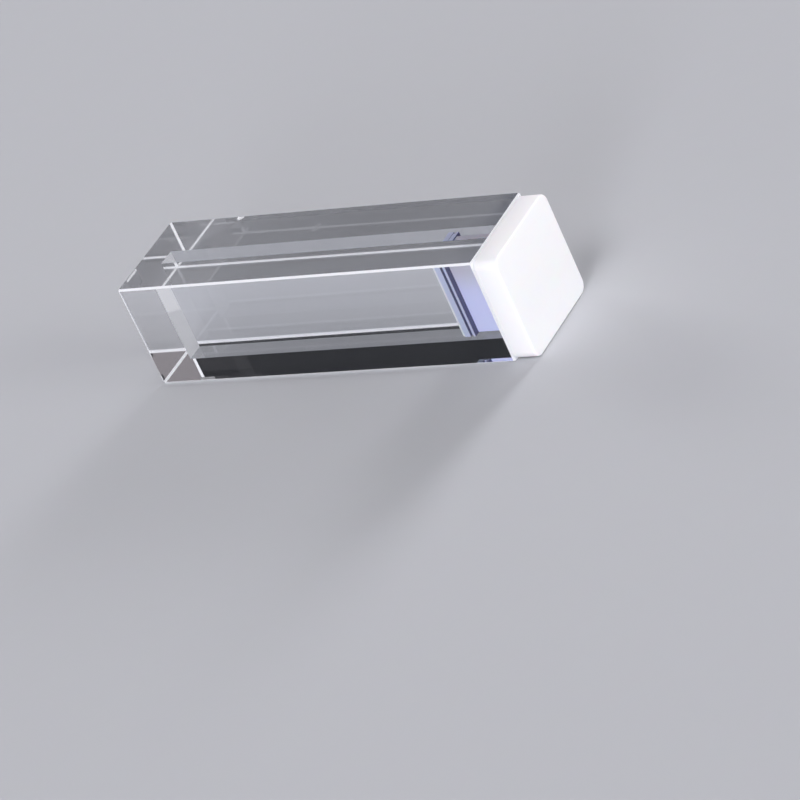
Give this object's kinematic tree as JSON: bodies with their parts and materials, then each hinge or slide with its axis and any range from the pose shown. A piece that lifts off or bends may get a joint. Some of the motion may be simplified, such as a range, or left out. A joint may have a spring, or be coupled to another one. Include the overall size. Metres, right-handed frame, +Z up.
{
  "type": "micro cuvette",
  "caption": "Square glass cuvette with a narrow sample slot between thick side blocks, closed by a white PTFE lid with a ribbed tongue.",
  "frame": {"origin": "under the middle of the overall length and width, on the window face that the cell lies on", "axes": "+X along the cell from its base to its lid, +Z up along the light path, Y across the slot"},
  "size_m": [0.0478, 0.0126, 0.0125],
  "materials": {
    "optical_glass": "polished faces with fine ground edge bevels",
    "ptfe": "machined, satin white"
  },
  "bodies": {
    "root": {"cell": "optical_glass", "lid": "ptfe"}
  },
  "joints": []
}
